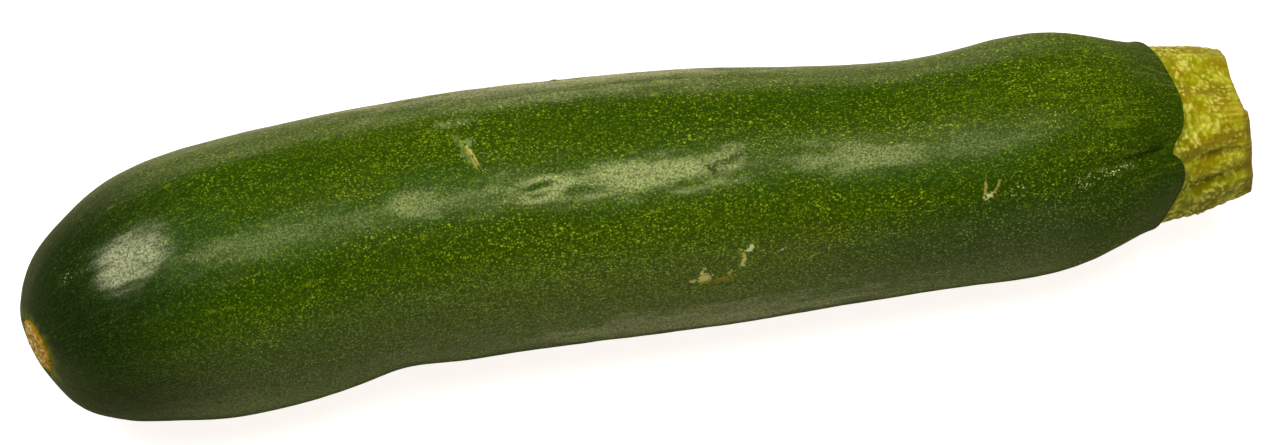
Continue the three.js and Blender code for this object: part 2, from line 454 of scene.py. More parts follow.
def keep_grain(piece, grain):
    """The unbent place of each point, which the finish's pattern follows."""
    kept = piece.data.attributes.new("grain", "FLOAT_VECTOR", "POINT")
    kept.data.foreach_set("vector", np.ascontiguousarray(grain).ravel())


def keep_level(piece, name, levels):
    """A number at each point, for the finish."""
    kept = piece.data.attributes.new(name, "FLOAT", "POINT")
    kept.data.foreach_set("value", np.ascontiguousarray(levels))


def bend_to_middle_line(piece):
    line = bpy.data.curves.new("middle_line", "CURVE")
    line.dimensions = "3D"
    line.twist_mode = "Z_UP"
    line.resolution_u = LINE_STEPS
    spline = line.splines.new("BEZIER")
    spline.bezier_points.add(len(MIDDLE_LINE) - 1)
    for point, place in zip(spline.bezier_points, MIDDLE_LINE):
        point.co = Vector(place) * MM
        point.handle_left_type = point.handle_right_type = "AUTO"
    guide = bpy.data.objects.new("middle_line", line)
    bpy.context.collection.objects.link(guide)
    bend = piece.modifiers.new("bend", "CURVE")
    bend.object = guide
    bend.deform_axis = "POS_X"
    bpy.ops.object.modifier_apply(modifier=bend.name)
    bpy.data.objects.remove(guide)


def rest_on_surface(piece):
    places = read_points(piece)
    places[:, 2] = np.maximum(places[:, 2], 0)
    move_points(piece, places)


def rough(places, size):
    """Soft unevenness between about -1 and 1, with humps of about this size."""
    scaled = np.asarray(places) / size
    return np.array([noise.fractal(Vector(place), *ROUGHNESS) for place in scaled])


def make_fruit():
    way = np.concatenate([
        [0, 1.6, 3.2, 4.6, 5.6],
        np.linspace(6.8, 54, 22),
        np.linspace(57, SHOULDER_WAY, 36),
        np.linspace(SHOULDER_WAY, RIM_WAY, 16)[1:],
        [RIM_WAY + 0.5, LIP_WAY, LIP_WAY + 0.5, WALL_WAY],
        [(WALL_WAY + FLOOR_WAY) / 2, FLOOR_WAY, (FLOOR_WAY + CENTRE_WAY) / 2, CENTRE_WAY],
    ])
    along, radius = fruit_form(way, np.full_like(way, math.radians(RING_ANGLE)))
    fruit = straight_tube("courgette_fruit", FRUIT_SIDES, list(zip(along, radius, way)))
    refine(fruit)

    way = read_ways(fruit)
    angle = read_angles(fruit)
    along, radius = fruit_form(way, angle)
    grain = unrolled(way - SHOULDER_WAY + BODY_PROFILE[-1][0], GRAIN_RADIUS, angle)
    outside = 1 - ease(way, RIM_WAY - 2, RIM_WAY)
    skin = outside * ease(radius, SCAR_RADIUS, SCAR_RADIUS + 6)
    height, size, stretch = SKIN_WAVES
    radius += skin * height * (rough(grain / (stretch, 1, 1), size) - 0.3)
    height, size, stretch = SKIN_RIPPLES
    radius += skin * height * rough(grain / (stretch, 1, 1), size)
    radius += raised_at(DENTS, grain[:, 0], angle, GRAIN_RADIUS)
    lean = np.minimum(radius / SCAR_RADIUS, 1.2) * np.cos(angle - math.radians(SCAR_TILT_ANGLE))
    along += SCAR_TILT * (1 + lean) * (1 - ease(along, 0, SCAR_TILT_END))
    scar = 1 - ease(radius, SCAR_RADIUS - 0.3, SCAR_RADIUS + 0.5)
    places = around_middle(along, radius, angle)
    places[:, 0] += scar * SCAR_ROUGHNESS * (rough(places, 1.1) + 0.4)
    keep_grain(fruit, grain)
    move_points(fruit, places * MM)
    bend_to_middle_line(fruit)
    rest_on_surface(fruit)
    return fruit


def warts_at(along, angle):
    """Small domes crowded side by side, from 0 between them to 1 on top."""
    chance = np.random.default_rng(5)
    jitter = chance.uniform(-0.42, 0.42, (2, WARTS_ROUND, WART_ROWS))
    size = chance.uniform(0.4, 0.8, (WARTS_ROUND, WART_ROWS))
    across = np.mod(angle / (2 * np.pi), 1) * WARTS_ROUND
    ahead = (along - SOCKET_FLOOR) / WART_PITCH
    height = np.zeros_like(along)
    for right in (-1, 0, 1):
        for up in (-1, 0, 1):
            column = np.floor(across).astype(int) + right
            row = np.floor(ahead).astype(int) + up
            kept = (column % WARTS_ROUND, row % WART_ROWS)
            aside = across - column - 0.5 - jitter[0][kept]
            above = ahead - row - 0.5 - jitter[1][kept]
            height = np.maximum(height, 1 - (aside**2 + above**2) / size[kept] ** 2)
    return height


def make_stem():
    way = np.concatenate([
        [-1, -0.5, -0.03, 0.01],
        np.linspace(0.05, 1, 30),
        [1.03, 1.08, 1.17, 1.3, 1.45, 1.6, 1.75, 1.88, 2],
    ])
    along, radius = stem_form(way, np.zeros_like(way))
    along += 0.02 * np.arange(len(way))
    stem = straight_tube("courgette_stem", STEM_SIDES, list(zip(along, radius, way)))
    refine(stem)

    way = read_ways(stem)
    angle = read_angles(stem)
    along, radius = stem_form(way, angle)
    grain = unrolled(along, STEM_CUT_RADIUS, angle)
    flank = ease(way, 0.15, 0.35) * (1 - ease(way, 1.0, 1.05))
    wander = rough(grain, 3)
    near_cut = ease(way, 0.72, 0.97)
    warts = warts_at(along + 0.5 * rough(grain, 1.6), angle + 0.045 * rough(grain + 40, 1.6))
    warts *= (0.5 + 0.5 * ease(wander, -0.5, 0.3)) * (1 - 0.35 * near_cut)
    fibres = rough(grain / (9, 1, 1), 0.7) * (0.25 + near_cut)
    lumps = rough(grain / (1.8, 1, 1), 3.4)
    welts = raised_at(STEM_WELTS, along, angle, STEM_CUT_RADIUS)
    relief = WART_HEIGHT * warts + FIBRE_HEIGHT * fibres + LUMP_HEIGHT * lumps + welts
    radius += flank * (relief - RIND_SINK)
    places = around_middle(along, radius, angle)
    cut = ease(way, 1.0, 1.04)
    places[:, 0] += cut * CUT_ROUGHNESS * (rough(places, 0.9) - 0.8)
    keep_grain(stem, grain)
    keep_level(stem, "warts", warts)
    keep_level(stem, "high", welts + 0.25 * lumps)
    keep_level(stem, "inward", np.clip(way - 1, 0, 1))
    move_points(stem, places * MM)
    bend_to_middle_line(stem)
    return stem


# ---- Materials ----


class Link:
    """What a node's socket gives. Sums on it add Math nodes."""

    def __init__(self, finish, socket):
        self.finish = finish
        self.socket = socket

    def __add__(self, other):
        return self.finish.sum("ADD", self, other)

    __radd__ = __add__

    def __sub__(self, other):
        return self.finish.sum("SUBTRACT", self, other)

    def __rsub__(self, other):
        return self.finish.sum("SUBTRACT", other, self)

    def __mul__(self, other):
        return self.finish.sum("MULTIPLY", self, other)

    __rmul__ = __mul__

    def __truediv__(self, other):
        return self.finish.sum("DIVIDE", self, other)

    def __rtruediv__(self, other):
        return self.finish.sum("DIVIDE", other, self)

    def __pow__(self, other):
        return self.finish.sum("POWER", self, other)

    def __rpow__(self, other):
        return self.finish.sum("POWER", other, self)


BASE_SPECULAR = 0.05
COAT_ROUGHNESS = 0.2
COAT_IOR = 1.45


class Finish:
    """A material, or a world, whose nodes are made one by one."""

    def __init__(self, name, kind="materials"):
        self.material = getattr(bpy.data, kind).new(name)
        self.material.use_nodes = True
        self.tree = self.material.node_tree
        self.tree.nodes.clear()

    def node(self, kind, settings, sockets, output=0):
        """Settings come first; sockets are a list in order or a dictionary by name or number."""
        made = self.tree.nodes.new(kind)
        for name, value in settings.items():
            setattr(made, name, value)
        pairs = sockets.items() if isinstance(sockets, dict) else enumerate(sockets)
        for key, value in pairs:
            if isinstance(value, Link):
                self.tree.links.new(value.socket, made.inputs[key])
            else:
                made.inputs[key].default_value = value
        return None if output is None else Link(self, made.outputs[output])

    def sum(self, operation, *values):
        return self.node("ShaderNodeMath", {"operation": operation}, values)

    def ease(self, value, low, high):
        """0 at low, 1 at high, and smooth between; low may be the higher number."""
        settings = {"interpolation_type": "SMOOTHSTEP"}
        return self.node("ShaderNodeMapRange", settings, {0: value, 1: low, 2: high})

    def mix(self, share, under, over):
        """Colours, by a share."""
        sockets = {0: share, 6: under, 7: over}
        return self.node("ShaderNodeMix", {"data_type": "RGBA"}, sockets, output=2)

    def attribute(self, name):
        return self.node("ShaderNodeAttribute", {"attribute_name": name}, {}, output="Vector")

    def level(self, name):
        return self.node("ShaderNodeAttribute", {"attribute_name": name}, {}, output="Fac")

    def here(self):
        return self.node("ShaderNodeTexCoord", {}, {}, output="Object")

    def split(self, place):
        parts = self.node("ShaderNodeSeparateXYZ", {}, [place]).socket.node.outputs
        return [Link(self, part) for part in parts]

    def join(self, x, y, z):
        return self.node("ShaderNodeCombineXYZ", {}, [x, y, z])

    def red(self, shade):
        return self.node("ShaderNodeSeparateColor", {}, [shade])

    def spot(self, grain, along, angle, length, width, turn):
        """How far a place on the skin is from a spot: 0 at its middle, 1 at its edge."""
        towards = math.radians(angle)
        middle = (along, GRAIN_RADIUS * math.cos(towards), GRAIN_RADIUS * math.sin(towards))
        turned = Matrix.Rotation(towards, 3, "X") @ Matrix.Rotation(-math.radians(turn), 3, "Y")
        sockets = {
            "Vector": grain,
            "Location": middle,
            "Rotation": turned.to_euler(),
            "Scale": (length, GRAIN_RADIUS, width),
        }
        placed = self.node("ShaderNodeMapping", {"vector_type": "TEXTURE"}, sockets)
        return self.node("ShaderNodeVectorMath", {"operation": "LENGTH"}, [placed], output="Value")

    def stretch(self, place, scale):
        return self.node("ShaderNodeVectorMath", {"operation": "MULTIPLY"}, [place, scale])

    def noise(self, place, size, detail):
        sockets = {"Vector": place, "Scale": 1 / size, "Detail": detail}
        return self.node("ShaderNodeTexNoise", {}, sockets)

    def streaky(self, place, squeeze, size, detail):
        """Noise drawn out lengthwise."""
        return self.noise(self.stretch(place, (squeeze, 1, 1)), size, detail)

    def cells(self, place, pitch, output="Distance"):
        """How far a place is from the middle of its cell."""
        sockets = {"Vector": place, "Scale": 1 / pitch}
        return self.node("ShaderNodeTexVoronoi", {}, sockets, output)

    def cell_chance(self, place, pitch):
        """A number between 0 and 1 that is the same all over a cell."""
        return self.red(self.cells(place, pitch, output="Color"))

    def bump(self, height, depth):
        sockets = {"Strength": 1.0, "Distance": depth * MM, "Height": height}
        return self.node("ShaderNodeBump", {}, sockets)

    def show(self, shader):
        self.node("ShaderNodeOutputMaterial", {}, {"Surface": shader}, output=None)

    def finish_with(self, base, roughness, normal, gloss):
        sockets = {
            "Base Color": base,
            "Roughness": roughness,
            "Specular IOR Level": BASE_SPECULAR,
            "Normal": normal,
            "Coat Weight": gloss,
            "Coat Roughness": COAT_ROUGHNESS,
            "Coat IOR": COAT_IOR,
        }
        self.show(self.node("ShaderNodeBsdfPrincipled", {}, sockets))


def colour(red, green, blue):
    return (red, green, blue, 1)


# ---- Skin ----

DARK_GREEN = colour(0.041, 0.098, 0.0009)
LIT_GREEN = colour(0.077, 0.138, 0.0010)
# A lighter, bluer green for the lower side: painted bounce light and reflection of the table.
PAINTED_TABLE_LIGHT_GREEN = colour(0.065, 0.118, 0.012)
PALE_GREEN = colour(0.124, 0.190, 0.010)
# Painted shade, for the lower side under the shine and below the furrow at the shoulder.
PAINTED_SHADE_GREEN = colour(0.019, 0.053, 0.006)
# A teal painted into the ground round the shine, as the tint of weak highlights.
PAINTED_SHEEN_TEAL = colour(0.040, 0.125, 0.026)
# The blossom end's dark green, partly its own colour and partly painted shade.
BLOSSOM_GREEN_AND_SHADE = colour(0.0130, 0.0350, 0.0070)
BLOSSOM_NET = colour(0.0045, 0.0120, 0.0018)
# The dark net between specks, also used as painted shade in two dents.
NET_GREEN_AND_DENT_SHADE = colour(0.016, 0.038, 0.0003)
# Painted shade in the crease between two lobes at the rim.
CREASE_SHADE_GREEN = colour(0.010, 0.022, 0.001)
SPECK_GREEN = colour(0.36, 0.47, 0.026)
BLOOM_SPECK = colour(0.27, 0.43, 0.085)
FLECK_GREEN = colour(0.24, 0.30, 0.010)
OLIVE = colour(0.13, 0.15, 0.002)
WAXY = colour(0.17, 0.24, 0.11)
TAN = colour(0.46, 0.38, 0.14)
OCHRE = colour(0.30, 0.22, 0.03)
CREAM = colour(0.60, 0.54, 0.30)
WHITE = colour(0.85, 0.90, 0.80)
HALO_GREEN = colour(0.17, 0.19, 0.006)
CORK_BROWN = colour(0.30, 0.13, 0.02)
CORK_TAN = colour(0.50, 0.34, 0.13)
CORK_PALE = colour(0.72, 0.62, 0.42)
CORK_EDGE = colour(0.40, 0.19, 0.006)

# Sizes of the skin's patterns.
BAND_SIZE = 9
SMUDGE_SIZE = 2.4
CLUSTER_SIZE = 4
SPECK_PITCH = 0.7
DUST_PITCH = 0.36
LINE_SIZE = 0.55
FLECK_PITCH = 4.2
FLECK_EDGE_SIZE = 0.6
FINE_SIZE = 0.38
STREAK_SIZE = 0.8
TORN_SIZE = 0.55
DOT_PITCH = 0.52
DOT_CLUSTER_SIZE = 0.9
RAY_SIZE = 5.5
WOBBLE_SIZE = 6
CORK_SIZE = 0.7
SKIN_BUMP = 0.05

# From where to where along the fruit a change comes in.
YELLOWING = (80, 190)
BLOSSOM_END = (38, 6)
BOLDER_SPECKS = (10, 110)
SHOULDER_SPECKS = (160, 185)
STREAKED_END = (160, 188)
DARK_RIM = (184, 198)
GLOSS_START = (8, 32)
GLOSS_END = (166, 184)
# The same for the scar, from its middle.
HALO = (8.2, 4.6)
SCAR = (5.1, 4.5)
SCAR_EDGE = (3.8, 4.6)

# The skin turns from dull at this angle to glossy on its sides.
DULL_ANGLE = -30
DULL_SPREAD = (15, 36)
SIDE_GLOSS = 0.56
BLOOM_GLOSS = 0.14

# Broad soft patches: along, angle, length, width, turn, colour, share. The ones in painted-shade
# green and the one in blossom green at the blossom end are painted shade; the pale and olive ones
# are the skin's own colour.
SHADES = [
    (96, -77, 50, 16, 0, PALE_GREEN, 0.85),
    (177, -68, 38, 18, 0, PAINTED_SHADE_GREEN, 0.7),
    (3, -8, 17, 20, 0, BLOSSOM_GREEN_AND_SHADE, 0.92),
    (129, -66, 10, 4, 8, OLIVE, 0.6),
    (82, -47, 48, 7, 0, PAINTED_SHADE_GREEN, 0.25),
]
# Healed scrapes and dried spots, and painted shade in the crease at the rim and in two dents:
# along, angle, length, width, turn, colour, share.
BLEMISHES_AND_SHADE = [
    # These three are painted shade: the crease at the rim and two dents.
    (193, -49.7, 5, 0.5, 3, CREASE_SHADE_GREEN, 0.7),
    (117.3, -24.8, 3.8, 0.42, 18, NET_GREEN_AND_DENT_SHADE, 0.9),
    (114.5, -29, 1.3, 0.5, -60, NET_GREEN_AND_DENT_SHADE, 0.9),
    (74.7, 6.6, 4, 0.9, 8, WAXY, 0.35),
    (72.2, 7.4, 1.2, 0.8, -30, WAXY, 0.5),
    (77.9, -10.6, 0.9, 0.14, -20, WAXY, 0.7),
    (79, -12.3, 0.9, 0.14, 40, WAXY, 0.6),
    (80.3, -13.6, 0.7, 0.14, 60, WAXY, 0.6),
    (75, -8, 3.3, 0.9, -72, WAXY, 0.55),
    (75.9, -4.5, 1, 0.8, 20, WAXY, 0.9),
    (75.4, -8.7, 3.8, 0.24, -71, OCHRE, 0.45),
    (76, -11.5, 2.6, 0.4, -74, TAN, 0.4),
    (76.2, -10.5, 2.4, 0.16, -70, CREAM, 0.6),
    (112.3, -78.2, 1.2, 1.1, 30, CREAM, 0.85),
    (112.5, -80.8, 1.1, 0.4, 20, OCHRE, 0.8),
    (110.6, -79.2, 0.9, 0.35, 10, CREAM, 0.7),
    (111.8, -74.6, 1.1, 0.3, 60, CREAM, 0.7),
    (118.6, -71.3, 1.3, 0.45, 80, CREAM, 0.8),
    (118.6, -68, 0.8, 0.35, 75, TAN, 0.8),
    (119.8, -65.4, 0.9, 0.45, 55, WHITE, 0.6),
    (116.4, -76.5, 0.8, 0.4, 20, TAN, 0.6),
    (115.6, -80, 1.8, 0.7, 10, OCHRE, 0.5),
    (158.4, -51.8, 2.2, 0.24, 82, TAN, 0.65),
    (158.9, -55, 0.7, 0.45, 30, WHITE, 0.6),
    (160.3, -51.5, 2.3, 0.24, 58, TAN, 0.55),
    (125.1, -68.2, 0.8, 0.2, 20, WHITE, 0.35),
    (130.3, -74, 1, 0.2, 30, TAN, 0.35),
    (94.2, -51.1, 2.4, 0.09, 14, FLECK_GREEN, 0.5),
    (103.7, -45.4, 3.9, 0.09, 13, FLECK_GREEN, 0.5),
]
# Where fine white dots are strewn: along, angle, length, width, turn, share.
STREWN = [
    (183.5, -54.6, 6.5, 1.3, 2, 0.9),
    (177, -56.6, 2.8, 1.9, 20, 0.9),
    (163.8, -54.8, 2.4, 1.2, 10, 0.8),
    (74.7, 6.5, 4.2, 1.2, -8, 0.45),
    (6.6, -6.5, 1.7, 1.9, 0, 0.4),
    (132.5, -71, 3, 0.6, 20, 0.6),
]
# Where the bloom is rubbed off and the skin shines: along, angle, length, width, turn, gloss.
RUBBED = [
    (18, -15, 10, 8.5, 0, 1.25),
    (27, -19, 8, 6, 8, 0.55),
    (42, -28.5, 20, 2.8, 0, 0.34),
    (64.5, -28, 7, 2.8, -8, 0.66),
    (68, -20.5, 5, 2, 0, 0.3),
    (75, -27.5, 8, 2.4, 6, 0.42),
    (89, -28.5, 11, 3, -2, 1.15),
    (104.5, -28, 15, 4, 3, 1.05),
    (117.5, -23.5, 5, 3, 12, 1.05),
    (124, -28, 9, 4, 0, 0.2),
    (139.5, -31, 12.5, 4.4, -4, 0.7),
    (157, -33, 11, 4, 0, 0.3),
    (92, 32, 38, 9, 0, 1.6),
    (116, -111, 36, 7, 0, 1.6),
]


def make_skin():
    skin = Finish("skin")
    grain = skin.attribute("grain")
    along, up, aside = skin.split(grain)
    upward = up / GRAIN_RADIUS
    around = skin.sum("ARCTAN2", aside, up)
    flat = skin.join(along, around * GRAIN_RADIUS, 0)

    # Ground colour: dark green, in soft lengthwise bands, and yellower towards the stem.
    bands = skin.streaky(grain, 0.16, BAND_SIZE, 3)
    tone = bands + skin.ease(along, *YELLOWING) * 0.12
    ground = skin.mix(skin.ease(tone, 0.38, 0.66), DARK_GREEN, LIT_GREEN)
    below = skin.ease(upward + (bands - 0.5) * 0.4, 0.66, 0.2)
    # Painted light: the lower side is mixed towards a lighter, bluer green, for the bounce light
    # and reflection of the table.
    ground = skin.mix(below * 0.8, ground, PAINTED_TABLE_LIGHT_GREEN)
    # Darker towards the blossom end, partly its own colour and partly painted shade, and less so on
    # the lower side.
    blossom = skin.ease(along + (bands - 0.5) * 20, *BLOSSOM_END)
    ground = skin.mix(blossom * (0.96 - below * 0.3), ground, BLOSSOM_GREEN_AND_SHADE)
    for *place, shade, share in SHADES:
        patch = skin.ease(skin.spot(grain, *place) + (bands - 0.5) * 1.5, 1.2, 0.3)
        ground = skin.mix(patch * share, ground, shade)

    # Painted highlight tint: in and round the places that shine, but not on its sides, the ground
    # is mixed towards teal, the tint of the weak highlights.
    smudge = (skin.streaky(grain, 0.35, SMUDGE_SIZE, 5) - 0.5) * 2.4
    shine = 0
    painted_sheen = 0
    for *place, width, turn, level in RUBBED:
        far = skin.spot(grain, *place, width, turn) + smudge
        shine = skin.sum("MAXIMUM", shine, skin.ease(far, 1.4, 0.3) * level)
        painted_sheen = skin.sum("MAXIMUM", painted_sheen, skin.ease(far, 1.1 + 2.2 / width, 0.7))
    aslant = skin.sum("ABSOLUTE", around - math.radians(DULL_ANGLE))
    sides = skin.ease(aslant, *np.radians(DULL_SPREAD).tolist())
    painted_sheen = painted_sheen * (1 - sides) * (1 - blossom * 0.75)
    ground = skin.mix(painted_sheen * 0.6, ground, PAINTED_SHEEN_TEAL)

    # A dark net, with pale specks over it that are drawn out lengthwise and gather in clusters.
    cluster = skin.ease(skin.streaky(grain, 0.5, CLUSTER_SIZE, 3), 0.36, 0.64)
    bolder = 0.5 + skin.ease(along, *BOLDER_SPECKS) * 0.55
    bolder = bolder + skin.ease(along, *SHOULDER_SPECKS) * 0.35
    speck_place = skin.stretch(flat, (0.74, 1.15, 1))
    speck_far = skin.cells(speck_place, SPECK_PITCH)
    speck_chance = skin.cell_chance(speck_place, SPECK_PITCH)
    strength = (0.05 + speck_chance**4) * (0.35 + cluster * 0.65) * bolder
    specks = skin.ease(speck_far / (0.7 + speck_chance * 0.45), 0.4, 0.08) * strength
    dust_place = skin.stretch(flat, (0.8, 1.1, 1))
    dust_far = skin.cells(dust_place, DUST_PITCH)
    dust_chance = skin.cell_chance(dust_place, DUST_PITCH)
    dust = skin.ease(dust_far, 0.5, 0.08) * (0.3 + dust_chance**3 * 2.4)
    lines = skin.streaky(grain, 0.2, LINE_SIZE, 3)
    net = skin.ease(dust_far, 0.2, 0.6) * 0.66 + skin.ease(lines, 0.58, 0.4) * 0.15
    net_shade = skin.mix(blossom, NET_GREEN_AND_DENT_SHADE, BLOSSOM_NET)
    ground = skin.mix(net, ground, net_shade)
    plain = (1 - blossom * 0.6) * (1 - painted_sheen * 0.4)
    speck_shade = skin.mix(below, SPECK_GREEN, BLOOM_SPECK)
    dusting = dust * (0.1 + bolder * 0.14 + cluster * 0.18) * (1 - blossom * 0.7)
    ground = skin.mix(dusting * plain, ground, speck_shade)
    ground = skin.mix(specks * (1 - below * 0.4) * plain, ground, speck_shade)
    fleck_far = skin.cells(skin.stretch(flat, (0.45, 1, 1)), FLECK_PITCH)
    ragged = (skin.noise(flat, FLECK_EDGE_SIZE, 2) - 0.5) * 0.2
    flecks = skin.ease(fleck_far + ragged, 0.13, 0.02) * (1 - below * 0.6) * plain
    ground = skin.mix(flecks * 0.45, ground, FLECK_GREEN)
    fine = skin.noise(grain, FINE_SIZE, 3)
    ground = skin.mix(skin.ease(fine, 0.52, 0.34) * 0.35, ground, net_shade)

    # Near the rim the skin is darker, and at both ends its specks are drawn out in lines.
    ground = skin.mix(skin.ease(along, *DARK_RIM) * 0.58, ground, NET_GREEN_AND_DENT_SHADE)
    streaks = skin.ease(skin.streaky(grain, 0.1, STREAK_SIZE, 2), 0.54, 0.7)
    ends = skin.ease(along, *STREAKED_END) + blossom * 0.12
    ground = skin.mix(streaks * ends * (0.15 - below * 0.1), ground, SPECK_GREEN)

    # Healed scrapes and dried spots, and painted shade in the crease at the rim and in two dents.
    torn = (skin.noise(grain, TORN_SIZE, 4) - 0.5) * 3.8
    marks_and_shade = 0
    for *place, shade, share in BLEMISHES_AND_SHADE:
        mark = skin.ease(skin.spot(grain, *place) + torn, 1.2, 0.5) * share
        ground = skin.mix(mark, ground, shade)
        marks_and_shade = mark + marks_and_shade
    dots = skin.ease(skin.cells(flat, DOT_PITCH), 0.4, 0.2)
    dots = dots * skin.ease(skin.noise(flat, DOT_CLUSTER_SIZE, 2), 0.42, 0.54)
    strewn = 0
    for *place, share in STREWN:
        strewn = skin.ease(skin.spot(grain, *place), 1.1, 0.3) * share + strewn
    ground = skin.mix(dots * strewn, ground, WHITE)

    # The scar: tan cork, with an orange edge and a yellow-green halo.
    middle = BODY_PROFILE[-1][0] - SHOULDER_WAY
    rays = (skin.streaky(grain, 0.2, RAY_SIZE, 4) - 0.5) * 8
    reach = along - middle + (skin.noise(grain, WOBBLE_SIZE, 3) - 0.5) * 1.5
    ground = skin.mix(skin.ease(reach + rays, *HALO) * 0.6, ground, HALO_GREEN)
    cork_grain = skin.noise(skin.here(), CORK_SIZE * MM, 3)
    cork = skin.mix(skin.ease(cork_grain, 0.40, 0.52), CORK_BROWN, CORK_TAN)
    cork = skin.mix(skin.ease(cork_grain, 0.52, 0.66), cork, CORK_PALE)
    cork = skin.mix(skin.ease(reach, *SCAR_EDGE) * 0.8, cork, CORK_EDGE)
    scar = skin.ease(reach, *SCAR)
    ground = skin.mix(scar, ground, cork)

    # Where the bloom has been rubbed off, the skin shines.
    gloss = sides * SIDE_GLOSS + BLOOM_GLOSS
    gloss = gloss * (0.12 + skin.ease(along, *GLOSS_START) * 0.88)
    gloss = gloss * (1 - skin.ease(along, *GLOSS_END) * 0.85)
    gloss = skin.sum("MAXIMUM", gloss, shine)
    pores = skin.ease(fine + dust * 0.08 - net * 0.06, 0.34, 0.56)
    dull = (1 - scar) * (1 - 0.8 * skin.sum("MINIMUM", marks_and_shade, 1))
    gloss = gloss * (0.4 + pores * 0.65) * dull
    normal = skin.bump(fine + scar * cork_grain * 2, SKIN_BUMP)
    skin.finish_with(ground, 0.5 + scar * 0.3, normal, gloss)
    return skin.material


# ---- Rind of the stem ----

RIND_GOLD = colour(0.30, 0.22, 0.001)
RIND_YELLOW = colour(0.34, 0.34, 0.004)
RIND_GREEN = colour(0.24, 0.30, 0.004)
RIND_FURROW_SHADE = colour(0.16, 0.15, 0.002)
RIND_UNDERSIDE = colour(0.14, 0.19, 0.001)
RIND_HOLLOW_SHADE = colour(0.17, 0.12, 0.001)
RIND_PALE = colour(0.60, 0.54, 0.09)
RIND_CREAM = colour(0.74, 0.66, 0.26)
RIND_STRAW = colour(0.58, 0.53, 0.10)
RIND_BROWN = colour(0.20, 0.12, 0.02)
FLESH_GREEN = colour(0.40, 0.37, 0.09)
FLESH_PALE = colour(0.60, 0.58, 0.27)
FLESH_RAY = colour(0.64, 0.62, 0.32)
BUNDLE_GREEN = colour(0.20, 0.25, 0.03)
PITH_CREAM = colour(0.62, 0.56, 0.34)
PITH_BROWN = colour(0.30, 0.22, 0.08)

# Sizes of its patterns.
TONE_SIZE = 3
GRIT_SIZE = 0.5
FIBRE_SIZE = 0.6
SPONGE_SIZE = 1.6
BUNDLE_PITCH = 2.6
RIND_BUMP = 0.16
RIND_GLOSS = 0.3

# From where to where along the stem a change comes in.
GREEN_ROOT = (200, 194)
OPEN_HOLLOWS = (207, 203)
DRIED_END = (202.5, 207.5)
BROWN_EDGE = (206.6, 207.6)


def make_stem_rind():
    rind = Finish("stem_rind")
    grain = rind.attribute("grain")
    along, up, _ = rind.split(grain)
    warts = rind.level("warts")
    high = rind.level("high")
    inward = rind.level("inward")
    tone = rind.streaky(grain, 0.6, TONE_SIZE, 3)
    grit = rind.noise(grain, GRIT_SIZE, 3)
    fibre = rind.streaky(grain, 0.1, FIBRE_SIZE, 3)

    # Golden in the hollows, yellow-green on the flanks, and cream on the warts; darker with painted
    # shade in the furrows and, near the root, between the warts.
    base = rind.mix(rind.ease(tone + high * 0.15, 0.36, 0.6), RIND_GOLD, RIND_YELLOW)
    base = rind.mix(rind.ease(along, *GREEN_ROOT) * 0.6, base, RIND_GREEN)
    # Painted shade in the furrows.
    base = rind.mix(rind.ease(high, -0.1, -0.6) * 0.7, base, RIND_FURROW_SHADE)
    base = rind.mix(rind.ease(up, 4, -3) * 0.6, base, RIND_UNDERSIDE)
    # Painted shade between the warts near the root.
    between = rind.ease(warts, 0.2, -0.3) * rind.ease(along, *OPEN_HOLLOWS)
    base = rind.mix(between * 0.75, base, RIND_HOLLOW_SHADE)
    pale = rind.ease(warts + (tone - 0.5) * 1.4 + (grit - 0.5) * 1.4, 0.15, 0.85)
    base = rind.mix(pale * 0.68, base, RIND_PALE)
    beads = rind.ease(warts + (grit - 0.5) * 2, 0.6, 1.1)
    base = rind.mix(beads * 0.72, base, RIND_CREAM)
    dried = rind.ease(along, *DRIED_END)
    streaks = dried * rind.ease(fibre, 0.48, 0.66)
    streaks = streaks + rind.ease(high, 0.1, 0.5) * rind.ease(fibre, 0.5, 0.7)
    base = rind.mix(streaks * 0.4, base, RIND_STRAW)
    edge = rind.ease(inward, 0.09, 0.02) * rind.ease(along, *BROWN_EDGE)
    base = rind.mix(edge * 0.65, base, RIND_BROWN)

    # The cut face: pale spongy flesh, a ring of green bundles and a dry pith.
    sponge = rind.noise(rind.here(), SPONGE_SIZE * MM, 5)
    flesh = rind.mix(rind.ease(sponge, 0.36, 0.64), FLESH_GREEN, FLESH_PALE)
    rays = rind.ease(fibre, 0.46, 0.64) * rind.ease(inward, 0.5, 0.1)
    flesh = rind.mix(rays * 0.35, flesh, FLESH_RAY)
    ring = rind.ease(inward, 0.12, 0.22) * rind.ease(inward, 0.62, 0.5)
    bundles = rind.ease(rind.cells(rind.here(), BUNDLE_PITCH * MM), 0.3, 0.12) * ring
    flesh = rind.mix(bundles * 0.6, flesh, BUNDLE_GREEN)
    pith = rind.ease(inward + (sponge - 0.5) * 0.9, 0.62, 0.74)
    flesh = rind.mix(pith * 0.6, flesh, PITH_CREAM)
    centre = rind.ease(inward + (sponge - 0.5) * 0.5, 0.9, 0.98)
    flesh = rind.mix(centre * 0.6, flesh, PITH_BROWN)
    base = rind.mix(rind.ease(inward, 0.03, 0.07), base, flesh)

    normal = rind.bump(grit + fibre * dried, RIND_BUMP)
    rind.finish_with(base, 0.5, normal, RIND_GLOSS)
    return rind.material


# ---- Table, light and camera ----

TABLE_SIZE = 12
# The paper as the courgette meets it, and as it is seen, with a glow that thins its shadows.
PAPER_TINT = colour(0.60, 0.56, 0.60)
PAPER_SHADE = colour(0.45, 0.44, 0.85)
PAPER_GLOW = colour(1, 0.945, 0.905)
PAPER_GLOW_STRENGTH = 0.96
NO_GLOW = colour(0, 0, 0)

# The room is seen as white, and lights the courgette with the rest.
ROOM_WHITE = colour(1, 1, 1)
ROOM_DARK = colour(0.015, 0.015, 0.01)
ROOM_LOW = colour(0.22, 0.22, 0.14)
ROOM_WALL = colour(1.25, 1.18, 0.6)
